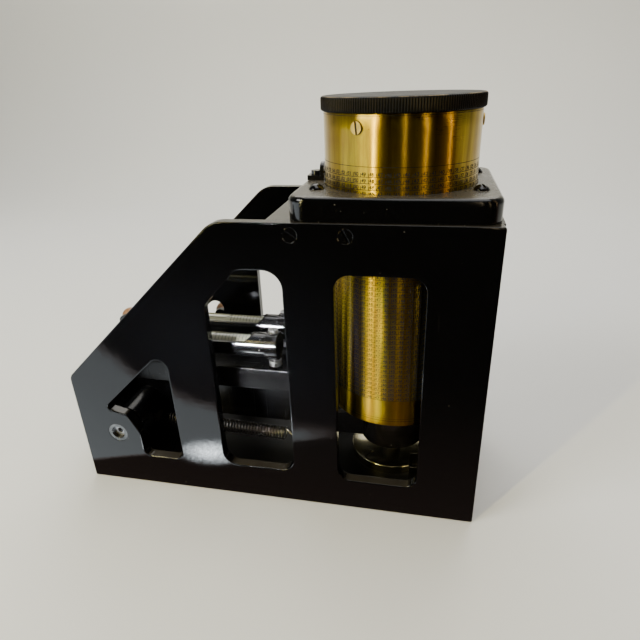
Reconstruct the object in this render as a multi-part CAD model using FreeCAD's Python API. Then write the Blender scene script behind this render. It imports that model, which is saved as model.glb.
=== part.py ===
import FreeCAD
import Part
import math
import os

# Precision drum instrument: an enamelled open frame, a tall micrometer drum on a fixed
# lead screw, and a pivoted arm with two spirit levels that the drum raises and lowers.
# Stations are laid out in millimetres from the front, left, lower corner of the frame:
# x to the right, y to the back, z up. On saving, each piece is moved so that the origin
# is the middle of the underside of the base plate.
# Cutters run past the faces they open, mostly by 1 mm.

os.makedirs("parts", exist_ok=True)

V = FreeCAD.Vector
X, Y, Z = V(1, 0, 0), V(0, 1, 0), V(0, 0, 1)

# ---------------------------------------------------------------- driving dimensions
FRAME_L = 228.6          # length of the frame
FRAME_W = 89.0           # width over both side plates
FRAME_H = 163.6          # height of the side plates
SIDE_T = 5.5             # plate thicknesses
END_T = 5.8
TOE_T = 5.8
BASE_T = 10.0
DECK_T = 11.0
INNER0, INNER1 = SIDE_T, FRAME_W - SIDE_T   # inner faces of the side plates
END_X0 = FRAME_L - END_T
DECK_Z0 = FRAME_H - DECK_T
ORIGIN = V(-FRAME_L / 2.0, -FRAME_W / 2.0, 0)

DRUM_X, DRUM_Y = 181.4, FRAME_W / 2.0
DRUM_R = 36.9
DRUM_BORE_R = DRUM_R - 2.0
DRUM_Z0, DRUM_Z1 = 53.1, 207.7
HUB_Z0 = 55.0

SCREW_R = 5.0            # lead screw
SCREW_FOOT_R = 4.0
SLIDE_R = SCREW_R + 0.06  # bore of the pieces that run on it
FLANGE_R, FLANGE_T = 24.5, 5.0
FLANGE_TOP = BASE_T + FLANGE_T
LIFT_Z = 43.0            # underside of the thrust sleeve, where the arm pushes up

PIVOT_X, PIVOT_Z = 23.0, 35.2
SHAFT_R = 4.0
BUSH_R = 6.0
ARM_C = DRUM_X - PIVOT_X  # lever length, pivot to drum axis
SPINE = (DRUM_Y - 6.0, DRUM_Y + 6.0)        # front and rear faces of the arm's spine
PIN_X, PIN_Y, PIN_Z = 29.0, 34.0, 24.2      # spring's end on the arm
PIN_R, PIN_DEPTH = 1.8, 8.0
POST_X, POST_Y, POST_Z = 125.5, 30.5, 22.8  # spring's end on the base
POST_FOOT_R = 2.0


# ---------------------------------------------------------------- helpers
def box(x0, x1, y0, y1, z0, z1):
    return Part.makeBox(x1 - x0, y1 - y0, z1 - z0, V(x0, y0, z0))


def cyl_z(x, y, z0, z1, r):
    return Part.makeCylinder(r, z1 - z0, V(x, y, z0), Z)


def cyl_y(x, z, y0, y1, r):
    return Part.makeCylinder(r, y1 - y0, V(x, y0, z), Y)


def cyl_x(y, z, xa, xb, r):
    """Cylinder along x; its two ends may be given in either order."""
    x0, x1 = sorted((xa, xb))
    return Part.makeCylinder(r, x1 - x0, V(x0, y, z), X)


def on_drum(z0, z1, r):
    return cyl_z(DRUM_X, DRUM_Y, z0, z1, r)


def on_pivot(y0, y1, r):
    return cyl_y(PIVOT_X, PIVOT_Z, y0, y1, r)


def inward(face):
    """Sense along y from a front or rear face to the middle of the frame."""
    return 1.0 if face < FRAME_W / 2.0 else -1.0


def cyl_from(face, x, z, depth0, depth1, r):
    """Cylinder along y between two depths, counted inward from a face."""
    y0, y1 = sorted((face + inward(face) * depth0, face + inward(face) * depth1))
    return cyl_y(x, z, y0, y1, r)


def polar(radius, degrees):
    """A point (x, y) at a radius and angle round the drum axis."""
    a = math.radians(degrees)
    return DRUM_X + radius * math.cos(a), DRUM_Y + radius * math.sin(a)


def outline(points):
    """Closed wire in the XZ plane through (x, z, corner radius)."""
    n = len(points)
    corners = []         # (start, middle or None, end) of each rounded corner
    for i in range(n):
        x, z, r = points[i]
        corner = V(x, 0, z)
        if r <= 0:
            corners.append((corner, None, corner))
            continue
        back = V(points[i - 1][0], 0, points[i - 1][1]) - corner
        ahead = V(points[(i + 1) % n][0], 0, points[(i + 1) % n][1]) - corner
        back.normalize()
        ahead.normalize()
        half = back.getAngle(ahead) / 2.0
        trim = r / math.tan(half)
        bisector = back + ahead
        bisector.normalize()
        centre = corner + bisector * (r / math.sin(half))
        corners.append((corner + back * trim, centre - bisector * r, corner + ahead * trim))
    edges = []
    for i in range(n):
        start, middle, end = corners[i]
        if middle is not None:
            edges.append(Part.Arc(start, middle, end).toShape())
        following = corners[(i + 1) % n][0]
        if (following - end).Length > 1e-6:
            edges.append(Part.makeLine(end, following))
    return Part.Wire(edges)


def prism(points, y0, y1):
    face = Part.Face(outline(points))
    face.translate(V(0, y0, 0))
    return face.extrude(V(0, y1 - y0, 0))


def near(a, b):
    return abs(a - b) < 1e-6


def edges_at(shape, z, longer_than=0.0):
    return [e for e in shape.Edges if near(e.CenterOfMass.z, z) and e.Length > longer_than]


def soften(shape, edges, r):
    """Round the listed edges, or chamfer them where a round can't be built."""
    for method in ("makeFillet", "makeChamfer"):
        # guards against a round or chamfer that the kernel can't build
        try:
            softened = getattr(shape, method)(r, edges)
            if softened.isValid() and softened.Volume > 0.5 * shape.Volume:
                return softened
        except Exception:
            pass
    return shape


def cut_all(shape, cutters):
    for cutter in cutters:
        shape = shape.cut(cutter)
    return shape


def slot_cut(x, y, top, head_r, width, depth, turn):
    """Screwdriver slot across a head, turned by degrees about its axis."""
    length = 2 * head_r + 1.0
    slot = Part.makeBox(length, width, depth, V(-length / 2.0, -width / 2.0, -depth))
    slot.rotate(V(0, 0, 0), Z, turn)
    slot.translate(V(x, y, top))
    return slot


def slotted_screw(x, y, levels, shank_r, head_r, slot, turn):
    """Upright screw; levels are tip, seat and top, slot is width and depth."""
    tip, seat, top = levels
    screw = cyl_z(x, y, tip, seat, shank_r).fuse(cyl_z(x, y, seat, top, head_r))
    return screw.removeSplitter().cut(slot_cut(x, y, top, head_r, *slot, turn))


def save(name, shape):
    placed = shape.copy()
    placed.translate(ORIGIN)
    placed.exportStep("parts/" + name + ".step")


def save_group(name, shapes):
    save(name, Part.makeCompound(shapes))


# ---------------------------------------------------------------- frame dowels
DOWEL_SEAT = 3.6         # depth into the side plates
# x, z, radius, reach into the plate between the side plates
BASE_DOWELS = [(x, BASE_T / 2.0, 2.0, 12.0) for x in (14.0, 82.0, 143.0, 212.0)]
END_DOWELS = [(END_X0 + END_T / 2.0, z, 1.5, 10.0) for z in (45.0, 120.0)]
TOE_DOWELS = [(TOE_T / 2.0, z, 1.5, 10.0) for z in (24.0, 50.0)]
ALL_DOWELS = BASE_DOWELS + END_DOWELS + TOE_DOWELS


def dowels(sites):
    return [
        cyl_from(face, x, z, -DOWEL_SEAT, reach, r)
        for x, z, r, reach in sites
        for face in (INNER0, INNER1)
    ]


save_group("frame_dowels", dowels(ALL_DOWELS))

# ---------------------------------------------------------------- side plates
DECK_SCREWS = ((135.4, 35.0), (160.8, 62.0))   # x, turn of the slot in degrees
DECK_SCREW_Z = 158.0
DECK_SCREW_R, DECK_HEAD_R = 2.0, 3.5
DECK_HEAD_SEAT = 2.2     # depth of the head's seat below the outer face

# x, z, corner radius
SIDE_OUTLINE = [
    (0, 0, 0.8), (FRAME_L, 0, 0.8), (FRAME_L, FRAME_H, 1.2),
    (97.8, FRAME_H, 14.0), (0, 71.5, 6.0),     # ends of the sloped edge
]
WINDOWS = [
    # left, beside the pivot
    [
        (62.5, 94.0, 5.5), (17.8, 51.9, 2.4), (31.6, 48.4, 5.0),
        (37.3, 37.0, 9.0), (37.6, 20.5, 4.5), (62.5, 20.5, 4.5),
    ],
    # middle, with the clipped upper left corner
    [
        (88.8, 21.4, 8.0), (130.2, 21.4, 8.0), (130.2, 140.6, 9.5),
        (107.6, 140.6, 6.0), (88.8, 120.3, 6.0),
    ],
    # right, at the drum
    [(155.0, 19.2, 7.5), (197.8, 19.2, 7.5), (197.8, 139.6, 7.5), (155.0, 139.6, 7.5)],
]


def side_plate(outer, inner):
    y0, y1 = sorted((outer, inner))
    plate = prism(SIDE_OUTLINE, y0, y1)
    plate = cut_all(plate, [prism(window, y0 - 1, y1 + 1) for window in WINDOWS])
    plate = plate.cut(on_pivot(y0 - 1, y1 + 1, BUSH_R))
    # every edge of the outer face except the pivot hole
    rim = [
        e
        for e in plate.Edges
        if all(near(v.Point.y, outer) for v in e.Vertexes)
        and near(e.CenterOfMass.y, outer)
        and not (
            abs(e.CenterOfMass.x - PIVOT_X) < 1.0 and abs(e.CenterOfMass.z - PIVOT_Z) < 7.0
        )
    ]
    plate = soften(plate, rim, 0.6)
    for x, _ in DECK_SCREWS:
        plate = plate.cut(cyl_from(outer, x, DECK_SCREW_Z, 0, DECK_HEAD_SEAT, DECK_HEAD_R))
        plate = plate.cut(cyl_y(x, DECK_SCREW_Z, y0 - 1, y1 + 1, DECK_SCREW_R))
    # blind dowel holes, from the inside
    return cut_all(plate, [cyl_from(inner, x, z, -DOWEL_SEAT, 0, r) for x, z, r, _ in ALL_DOWELS])


save("front_side_plate", side_plate(0, INNER0))
save("rear_side_plate", side_plate(FRAME_W, INNER1))

# ---------------------------------------------------------------- base, end, toe
FLANGE_SCREW_R, FLANGE_HEAD_R = 2.0, 4.0
FLANGE_HEAD_SEAT = FLANGE_TOP - 2.6
# x, y, turn of the slot in degrees
FLANGE_SCREWS = [
    (*polar(19.6, 230.7 + 120.0 * k), turn) for k, turn in enumerate((55, 10, 100))
]
CLAMP_X = (193.2, 202.0)
CLAMP_SCREW_X, CLAMP_SCREW_Y = sum(CLAMP_X) / 2.0, 19.3
CLAMP_SCREW_R = 1.5
TOE_Z1 = 62.0


def base_plate():
    base = box(0, END_X0, INNER0, INNER1, 0, BASE_T)
    base = base.cut(on_drum(2.5, BASE_T + 1, SCREW_FOOT_R))
    base = base.cut(cyl_z(POST_X, POST_Y, 3.0, BASE_T + 1, POST_FOOT_R))
    for x, y, _ in FLANGE_SCREWS:
        base = base.cut(cyl_z(x, y, 4.0, BASE_T + 1, FLANGE_SCREW_R))
    base = base.cut(cyl_z(CLAMP_SCREW_X, CLAMP_SCREW_Y, 4.0, BASE_T + 1, CLAMP_SCREW_R))
    return cut_all(base, dowels(BASE_DOWELS))


def end_plate():
    """Plate that closes the right end, below the deck."""
    return cut_all(box(END_X0, FRAME_L, INNER0, INNER1, 0, DECK_Z0), dowels(END_DOWELS))


def toe_plate():
    """Low plate that closes the left, pivot end."""
    toe = box(0, TOE_T, INNER0, INNER1, BASE_T, TOE_Z1)
    toe = soften(toe, edges_at(toe, TOE_Z1, longer_than=20), 1.2)
    return cut_all(toe, dowels(TOE_DOWELS))


save("base_plate", base_plate())
save("end_plate", end_plate())
save("toe_plate", toe_plate())

# ---------------------------------------------------------------- top deck
DECK_X0 = 122.0
DECK_SHANK_END = 10.5    # depth of the screw tips below the outer faces
HEAD_SINK = 0.15         # head top below the outer face
HOUSING_SCREW_R = 2.0
HOUSING_SCREW_Z0 = DECK_Z0 + 2.0
HOUSING_SCREWS = [(DRUM_X + dx, DRUM_Y + dy) for dy in (-23.0, 23.0) for dx in (-37.3, 37.3)]


def deck_shank(face, x):
    return cyl_from(face, x, DECK_SCREW_Z, DECK_HEAD_SEAT, DECK_SHANK_END, DECK_SCREW_R)


def top_deck():
    deck = box(DECK_X0, FRAME_L, INNER0, INNER1, DECK_Z0, FRAME_H)
    front_top = [e for e in edges_at(deck, FRAME_H) if near(e.CenterOfMass.x, DECK_X0)]
    deck = soften(deck, front_top, 1.5)
    deck = deck.cut(on_drum(DECK_Z0 - 1, FRAME_H + 1, DRUM_R + 1.0))
    for x, y in HOUSING_SCREWS:
        deck = deck.cut(cyl_z(x, y, HOUSING_SCREW_Z0, FRAME_H + 1, HOUSING_SCREW_R))
    return cut_all(deck, [deck_shank(face, x) for x, _ in DECK_SCREWS for face in (0.0, FRAME_W)])


def deck_screw(face, x, turn):
    head = cyl_from(face, x, DECK_SCREW_Z, HEAD_SINK, DECK_HEAD_SEAT, DECK_HEAD_R)
    screw = head.fuse(deck_shank(face, x)).removeSplitter()
    slot = Part.makeBox(9, 2.4, 1.0, V(-4.5, -1.2, -0.5))
    slot.rotate(V(0, 0, 0), Y, turn)
    slot.translate(V(x, face + inward(face) * HEAD_SINK, DECK_SCREW_Z))
    return screw.cut(slot)


save("top_deck", top_deck())
save_group(
    "deck_screws",
    [deck_screw(face, x, turn) for x, turn in DECK_SCREWS for face in (0.0, FRAME_W)],
)

# ---------------------------------------------------------------- drum housing
HOUSING_X = (133.5, 227.5)
HOUSING_Y = (2.0, FRAME_W - 2.0)
HOUSING_Z1 = 174.7
HOUSING_BORE_R = DRUM_R + 0.09        # the drum runs in this bore
DOME_R, DOME_RISE = 4.2, 2.4          # domed screw heads
DOME_HEAD_R = 3.7
INDEX_Y = DRUM_Y + 2.5                # index bracket
INDEX_SCREW_X = 138.6
INDEX_SCREW_R = 1.5
INDEX_FOOT_T = 2.4
INDEX_X1 = 143.4                      # right face of the bracket's disc


def drum_housing():
    housing = box(*HOUSING_X, *HOUSING_Y, FRAME_H, HOUSING_Z1)
    uprights = [
        e
        for e in edges_at(housing, (HOUSING_Z1 + FRAME_H) / 2)
        if near(e.Length, HOUSING_Z1 - FRAME_H)
    ]
    housing = soften(housing, uprights, 9.0)
    top = [e for e in housing.Edges if all(near(v.Point.z, HOUSING_Z1) for v in e.Vertexes)]
    housing = soften(housing, top, 2.6)
    housing = housing.cut(on_drum(FRAME_H - 1, HOUSING_Z1 + 1, HOUSING_BORE_R))
    for x, y in HOUSING_SCREWS:
        housing = housing.cut(cyl_z(x, y, FRAME_H - 1, HOUSING_Z1 + 1, HOUSING_SCREW_R))
    return housing.cut(
        cyl_z(INDEX_SCREW_X, INDEX_Y, HOUSING_Z1 - 7, HOUSING_Z1 + 1, INDEX_SCREW_R)
    )


def housing_screw(x, y, turn):
    top = HOUSING_Z1 + DOME_RISE
    shank = cyl_z(x, y, HOUSING_SCREW_Z0, HOUSING_Z1, HOUSING_SCREW_R)
    ball = Part.makeSphere(DOME_R, V(x, y, top - DOME_R))
    head = ball.common(cyl_z(x, y, HOUSING_Z1, top + 1, DOME_HEAD_R))
    screw = head.fuse(shank).removeSplitter()
    return screw.cut(slot_cut(x, y, top, DOME_HEAD_R, 1.0, 1.2, turn))


def index_bracket():
    """Half-round plate on a foot, left of the drum, with a nose that meets the drum."""
    foot_z = HOUSING_Z1
    disc = cyl_x(INDEX_Y, foot_z + 4.0, INDEX_X1 - 2.0, INDEX_X1, 4.6)
    bracket = disc.common(box(130, 150, 30, 60, foot_z, foot_z + 20))
    foot = box(134.8, INDEX_X1, INDEX_Y - 4.0, INDEX_Y + 4.0, foot_z, foot_z + INDEX_FOOT_T)
    bracket = bracket.fuse(foot).removeSplitter()
    nose_outline = [
        (143.3, foot_z + 3.2, 0), (144.3, foot_z + 3.9, 0),
        (144.3, foot_z + 4.1, 0), (143.3, foot_z + 4.8, 0),
    ]
    nose = prism(nose_outline, INDEX_Y - 3.4, INDEX_Y + 3.4)
    nose = nose.cut(on_drum(foot_z, foot_z + 9, DRUM_R + 0.12))
    bracket = bracket.fuse(nose).removeSplitter()
    return bracket.cut(cyl_z(INDEX_SCREW_X, INDEX_Y, foot_z - 1, foot_z + 9, INDEX_SCREW_R))


def index_screw():
    seat = HOUSING_Z1 + INDEX_FOOT_T
    levels = (HOUSING_Z1 - 6.5, seat, seat + 2.0)
    return slotted_screw(INDEX_SCREW_X, INDEX_Y, levels, INDEX_SCREW_R, 2.5, (0.7, 0.9), 40)


save("drum_housing", drum_housing())
save_group(
    "housing_screws",
    [housing_screw(x, y, turn) for (x, y), turn in zip(HOUSING_SCREWS, (20, 115, 70, 150))],
)
save("index_bracket", index_bracket())
save("index_screw", index_screw())

# ---------------------------------------------------------------- lead screw and its flange
SCREW_TOP = 188.0
CLAMP_TOP = BASE_T + 10.0
CLAMP_HEAD_SEAT = BASE_T + 8.4
CLAMP_HEAD_R = 2.6


def lead_screw():
    screw = on_drum(BASE_T, SCREW_TOP, SCREW_R)
    screw = screw.fuse(on_drum(3.0, BASE_T, SCREW_FOOT_R)).removeSplitter()
    return soften(screw, edges_at(screw, SCREW_TOP), 1.0)


def column_flange():
    flange = on_drum(BASE_T, FLANGE_TOP, FLANGE_R)
    flange = soften(flange, edges_at(flange, FLANGE_TOP), 0.6)
    flange = flange.cut(on_drum(BASE_T - 1, FLANGE_TOP + 1, SCREW_R))
    for x, y, _ in FLANGE_SCREWS:
        flange = flange.cut(cyl_z(x, y, BASE_T - 1, FLANGE_TOP + 1, FLANGE_SCREW_R))
        flange = flange.cut(cyl_z(x, y, FLANGE_HEAD_SEAT, FLANGE_TOP + 1, FLANGE_HEAD_R))
    return flange


def flange_screw(x, y, turn):
    levels = (4.5, FLANGE_HEAD_SEAT, FLANGE_TOP - 0.1)
    return slotted_screw(x, y, levels, FLANGE_SCREW_R, FLANGE_HEAD_R, (1.1, 1.1), turn)


def flange_clamp():
    """Block against the flange's rim."""
    x, y = CLAMP_SCREW_X, CLAMP_SCREW_Y
    clamp = box(*CLAMP_X, 15.6, 28.0, BASE_T, CLAMP_TOP)
    clamp = clamp.cut(on_drum(BASE_T - 1, FLANGE_TOP, FLANGE_R))
    clamp = clamp.cut(cyl_z(x, y, BASE_T - 1, CLAMP_TOP + 2, CLAMP_SCREW_R))
    return clamp.cut(cyl_z(x, y, CLAMP_HEAD_SEAT, CLAMP_TOP + 2, CLAMP_HEAD_R))


def clamp_screw():
    levels = (4.5, CLAMP_HEAD_SEAT, CLAMP_TOP - 0.1)
    return slotted_screw(
        CLAMP_SCREW_X, CLAMP_SCREW_Y, levels, CLAMP_SCREW_R, CLAMP_HEAD_R, (0.8, 0.8), 15
    )


save("lead_screw", lead_screw())
save("column_flange", column_flange())
save_group("flange_screws", [flange_screw(*site) for site in FLANGE_SCREWS])
save("flange_clamp", flange_clamp())
save("clamp_screw", clamp_screw())


# ---------------------------------------------------------------- bushes, post, sleeve
SLEEVE_R = 19.5
SLEEVE_Z0 = 24.0
SLEEVE_SLOT_HALF = 10.2  # half width of the slot that the cam plates reach into


def bush(face):
    body = cyl_from(face, PIVOT_X, PIVOT_Z, 0.1, 12.5, BUSH_R)
    return body.cut(cyl_from(face, PIVOT_X, PIVOT_Z, -1, 14, SHAFT_R + 0.05))


def spring_post():
    head_z0, head_z1 = POST_Z + 1.2, POST_Z + 3.4
    post = cyl_z(POST_X, POST_Y, 3.5, BASE_T, POST_FOOT_R)
    post = post.fuse(cyl_z(POST_X, POST_Y, BASE_T, head_z1, 2.5))
    return post.fuse(cyl_z(POST_X, POST_Y, head_z0, head_z1, 3.6)).removeSplitter()


def thrust_sleeve():
    """Slotted sleeve that slides on the lead screw, just below the drum hub."""
    sleeve = on_drum(SLEEVE_Z0, HUB_Z0 - 0.05, SLEEVE_R)
    sleeve = soften(sleeve, edges_at(sleeve, SLEEVE_Z0), 0.8)
    sleeve = sleeve.cut(on_drum(0, 80, SLIDE_R))
    y0, y1 = DRUM_Y - SLEEVE_SLOT_HALF, DRUM_Y + SLEEVE_SLOT_HALF
    return sleeve.cut(box(DRUM_X - 25, DRUM_X + 25, y0, y1, SLEEVE_Z0 - 1, LIFT_Z))


save("front_bush", bush(0))
save("rear_bush", bush(FRAME_W))
save("spring_post", spring_post())
save("thrust_sleeve", thrust_sleeve())

# ---------------------------------------------------------------- drum
CAP_R = 38.2
CAP_Z1 = 214.1
CAP_SCREW_Z = 202.1
CAP_SCREW_ANGLES = [243.0 + 120.0 * k for k in range(3)]
CAP_SCREW_START, CAP_SCREW_L = 26.5, 9.5     # radius of the tip, shank length
CAP_SCREW_R, CAP_HEAD_R = 1.5, 2.7
CAP_HEAD_START, CAP_HEAD_T = 36.0, 1.7       # radius of the head's seat, thickness


def radial(degrees, start, length, r):
    """Cylinder pointing outward from the drum axis at the cap screws' level."""
    a = math.radians(degrees)
    outward = V(math.cos(a), math.sin(a), 0)
    return Part.makeCylinder(r, length, V(DRUM_X, DRUM_Y, CAP_SCREW_Z) + outward * start, outward)


def cut_cap_screws(shape, hole_length):
    for angle in CAP_SCREW_ANGLES:
        shape = shape.cut(radial(angle, CAP_SCREW_START, hole_length, CAP_SCREW_R))
        shape = shape.cut(radial(angle, CAP_HEAD_START, 6.0, CAP_HEAD_R))
    return shape


def drum_tube():
    tube = on_drum(DRUM_Z0, DRUM_Z1, DRUM_R).cut(on_drum(DRUM_Z0 - 1, DRUM_Z1 + 1, DRUM_BORE_R))
    lower_rim = edges_at(tube, DRUM_Z0, longer_than=2 * math.pi * (DRUM_R - 0.5))
    return cut_cap_screws(soften(tube, lower_rim, 0.5), 12.0)


def drum_cap():
    cap = on_drum(DRUM_Z1, CAP_Z1, CAP_R)
    cap = soften(cap, [e for e in cap.Edges if e.Length > 200], 0.7)
    spigot = on_drum(DRUM_Z1 - 9.0, DRUM_Z1, DRUM_BORE_R)
    cap = cap.fuse(spigot.cut(on_drum(DRUM_Z1 - 10, DRUM_Z1 + 1, 24.0)))
    cap = cap.fuse(on_drum(DRUM_Z1, DRUM_Z1 + 1.0, 30.0)).removeSplitter()
    return cut_cap_screws(cap, CAP_SCREW_L)


def cap_screw(angle):
    shank = radial(angle, CAP_SCREW_START, CAP_SCREW_L, CAP_SCREW_R)
    screw = shank.fuse(radial(angle, CAP_HEAD_START, CAP_HEAD_T, CAP_HEAD_R)).removeSplitter()
    slot = Part.makeBox(1.6, 0.9, 9.0, V(-0.8, -0.45, -4.5))
    slot.rotate(V(0, 0, 0), X, 8.0)
    slot.rotate(V(0, 0, 0), Z, angle)
    slot.translate(V(*polar(CAP_HEAD_START + CAP_HEAD_T, angle), CAP_SCREW_Z))
    return screw.cut(slot)


def drum_hub():
    """Pierced web inside the drum, on a long boss that runs on the lead screw."""
    hub = on_drum(HUB_Z0 + 2.0, HUB_Z0 + 9.0, DRUM_BORE_R)
    hub = hub.fuse(on_drum(HUB_Z0, HUB_Z0 + 42.0, 12.0)).removeSplitter()
    hub = hub.cut(on_drum(0, 120, SLIDE_R))
    return cut_all(hub, [cyl_z(*polar(23.5, 30 + 60 * k), 0, 120, 5.5) for k in range(6)])


save("drum_tube", drum_tube())
save("drum_cap", drum_cap())
save_group("cap_screws", [cap_screw(angle) for angle in CAP_SCREW_ANGLES])
save("drum_hub", drum_hub())

# ---------------------------------------------------------------- pivoted arm
LEVEL_Z = 87.2           # axis of the spirit levels
LEVEL_Y = (25.5, 50.0)
LEVEL_X0, LEVEL_X1 = 36.0, 112.0
STUD_OFFSET = 3.8        # studs beyond the ends of the level tubes
STUD_R = 1.5
STUDS = [(x, y) for x in (LEVEL_X0 - STUD_OFFSET, LEVEL_X1 + STUD_OFFSET) for y in LEVEL_Y]
RIVETS = [(133.5, 34.0), (145.0, 34.0)]   # x, z
RIVET_R = 2.2
# x, z, corner radius
SPINE_OUTLINE = [
    (13.0, 30.0, 4.0), (22.5, 19.6, 2.5), (35.0, 19.6, 3.0), (46.0, 28.0, 8.0),
    (128.0, 27.0, 10.0), (150.5, 28.0, 2.0), (150.5, 39.4, 2.0), (139.0, 44.0, 6.0),
    (137.0, 64.0, 0.5), (30.0, 64.0, 0.5), (13.0, 44.0, 6.0),
]
LEVER_Y0 = FRAME_W + 0.6              # setting lever, behind the rear plate
LEVER_Y1 = LEVER_Y0 + 3.0
SHAFT_END_R = 3.0                     # thin rear end of the shaft, through the lever


def cut_rivets(shape):
    return cut_all(shape, [cyl_y(x, z, 30, 60, RIVET_R) for x, z in RIVETS])


def arm_casting():
    arm = prism(SPINE_OUTLINE, *SPINE)
    arm = arm.fuse(on_pivot(13.0, FRAME_W - 13.0, 8.5))
    # broad beam under the levels, hollowed from below on both sides of the spine
    beam = box(27.0, 139.0, 20.0, 69.0, 61.0, 74.0)
    beam = soften(beam, beam.Edges, 0.5)
    for y0, y1 in ((23.5, SPINE[0] + 0.5), (SPINE[1] - 0.5, 65.5)):
        beam = beam.cut(box(43.0, 123.0, y0, y1, 60.0, 69.5))
    arm = arm.fuse(beam).removeSplitter()
    arm = arm.cut(on_pivot(0, FRAME_W, SHAFT_R))
    arm = cut_all(arm, [cyl_z(x, y, 65.0, 80.0, STUD_R) for x, y in STUDS])
    arm = arm.cut(cyl_y(PIN_X, PIN_Z, SPINE[0] - 1, SPINE[0] + PIN_DEPTH, PIN_R))
    return cut_rivets(arm)


def pivot_shaft():
    shaft = on_pivot(2.4, LEVER_Y0, SHAFT_R)
    shaft = shaft.fuse(on_pivot(LEVER_Y0, LEVER_Y0 + 7.0, SHAFT_END_R)).removeSplitter()
    return shaft.cut(on_pivot(0, 5.4, 1.6))


save("arm_casting", arm_casting())
save("pivot_shaft", pivot_shaft())

# Two cam plates reach into the slot of the thrust sleeve, one on each side of the lead
# screw. Their top edge is an involute, so that one turn of the drum gives the same angle
# everywhere in the range: lift = lever length x angle in radians.
CAM_GAP = 0.05           # between cam and sleeve
CAM_T = 3.5
CAM_START, CAM_STEP, CAM_POINTS = 33.0, 1.18667, 31   # degrees, degrees, count


def cam_face():
    rest_height = LIFT_Z - PIVOT_Z - CAM_GAP
    curve = []
    for i in range(CAM_POINTS):
        t = math.radians(CAM_START - i * CAM_STEP)
        rho = rest_height + ARM_C * t
        x = PIVOT_X + ARM_C * math.cos(t) + rho * math.sin(t)
        z = PIVOT_Z - ARM_C * math.sin(t) + rho * math.cos(t)
        curve.append(V(x, 0, z))
    involute = Part.BSplineCurve()
    involute.interpolate(curve)
    first, last = curve[0], curve[-1]
    tip_x, bottom = first.x + 2.0, 24.8
    corners = [
        last, V(150.0, 0, 39.3), V(129.0, 0, 39.3), V(129.0, 0, 28.6),
        V(150.0, 0, bottom), V(tip_x, 0, bottom), V(tip_x, 0, first.z - 1.6), first,
    ]
    edges = [involute.toShape()]
    edges += [Part.makeLine(a, b) for a, b in zip(corners, corners[1:])]
    return Part.Face(Part.Wire(Part.__sortEdges__(edges)))


def cam_plate(y0):
    face = cam_face()
    face.translate(V(0, y0, 0))
    return cut_rivets(face.extrude(V(0, CAM_T, 0)))


save_group("cam_plates", [cam_plate(y0) for y0 in (SPINE[0] - CAM_T, SPINE[1])])
save_group(
    "cam_rivets",
    [cyl_y(x, z, SPINE[0] - CAM_T - 0.1, SPINE[1] + CAM_T + 0.1, RIVET_R) for x, z in RIVETS],
)

# ---------------------------------------------------------------- spirit levels
TUBE_R, VIAL_R, COLLAR_R = 7.0, 5.4, 8.1
PLUG_L = 4.0             # end caps' reach into the tube
STUD_SEAT = LEVEL_Z + COLLAR_R
# x, z, corner radius of the opening in the top of each tube
LEVEL_WINDOW = [(39.7, 96.5, 0), (48.5, 90.6, 1.0), (99.5, 90.6, 1.0), (108.3, 96.5, 0)]


def level_tube(y):
    tube = cyl_x(y, LEVEL_Z, LEVEL_X0, LEVEL_X1, TUBE_R)
    tube = tube.cut(cyl_x(y, LEVEL_Z, LEVEL_X0 - 1, LEVEL_X1 + 1, VIAL_R))
    return tube.cut(prism(LEVEL_WINDOW, y - 12, y + 12))


def level_cap(y, end_x, outward):
    cap = cyl_x(y, LEVEL_Z, end_x, end_x + 7.0 * outward, COLLAR_R)
    cap = soften(cap, [e for e in cap.Edges if e.Length > 40], 0.4)
    plug = cyl_x(y, LEVEL_Z, end_x, end_x - PLUG_L * outward, VIAL_R)
    cap = cap.fuse(plug).removeSplitter()
    return cap.cut(cyl_z(end_x + STUD_OFFSET * outward, y, LEVEL_Z - 12, LEVEL_Z + 12, STUD_R))


def level_stud(x, y, turn):
    levels = (66.0, STUD_SEAT, STUD_SEAT + 1.8)
    return slotted_screw(x, y, levels, STUD_R, 2.7, (0.7, 0.8), turn)


def capstan_nut(x, y):
    nut = cyl_z(x, y, 75.0, 78.4, 3.6).cut(cyl_z(x, y, 70, 80, STUD_R))
    for k in range(4):
        a = math.radians(20 + 90 * k)
        outward = V(math.cos(a), math.sin(a), 0)
        nut = nut.cut(Part.makeCylinder(0.6, 3.0, V(x, y, 76.7) + outward * 2.2, outward))
    return nut


save_group("level_tubes", [level_tube(y) for y in LEVEL_Y])
save_group(
    "level_caps",
    [level_cap(y, *end) for y in LEVEL_Y for end in ((LEVEL_X0, -1.0), (LEVEL_X1, 1.0))],
)
save_group(
    "level_vials",
    [cyl_x(y, LEVEL_Z, LEVEL_X0 + PLUG_L, LEVEL_X1 - PLUG_L, VIAL_R) for y in LEVEL_Y],
)
save_group(
    "level_studs",
    [level_stud(x, y, turn) for (x, y), turn in zip(STUDS, (30, 75, 120, 160))],
)
save_group("capstan_nuts", [capstan_nut(x, y) for x, y in STUDS])

# ---------------------------------------------------------------- return spring
SPRING_R, SPRING_WIRE, SPRING_PITCH = 3.6, 1.0, 2.0   # coil radius, wire diameter, pitch
HOOKS_L = 17.0           # least length kept free of coils
HOOK_STEPS = [32.5 * k for k in range(9)]             # degrees


def spring_pin():
    y = SPINE[0]
    pin = cyl_y(PIN_X, PIN_Z, y - 6.6, y + PIN_DEPTH, PIN_R)
    return pin.fuse(cyl_y(PIN_X, PIN_Z, y - 7.2, y - 5.6, 2.6)).removeSplitter()


def sweep(path, centre, tangent):
    """Spring wire along a path."""
    section = Part.Wire(Part.Circle(centre, tangent, SPRING_WIRE / 2.0).toShape())
    for frenet in (True, False):
        # guards against a sweep that fails in one of the two framing modes
        try:
            wire = Part.Wire(path).makePipeShell([section], True, frenet)
            if wire.isValid() and wire.Volume > 0:
                return wire
        except Exception:
            pass
    raise ValueError("the wire could not be swept")


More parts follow.
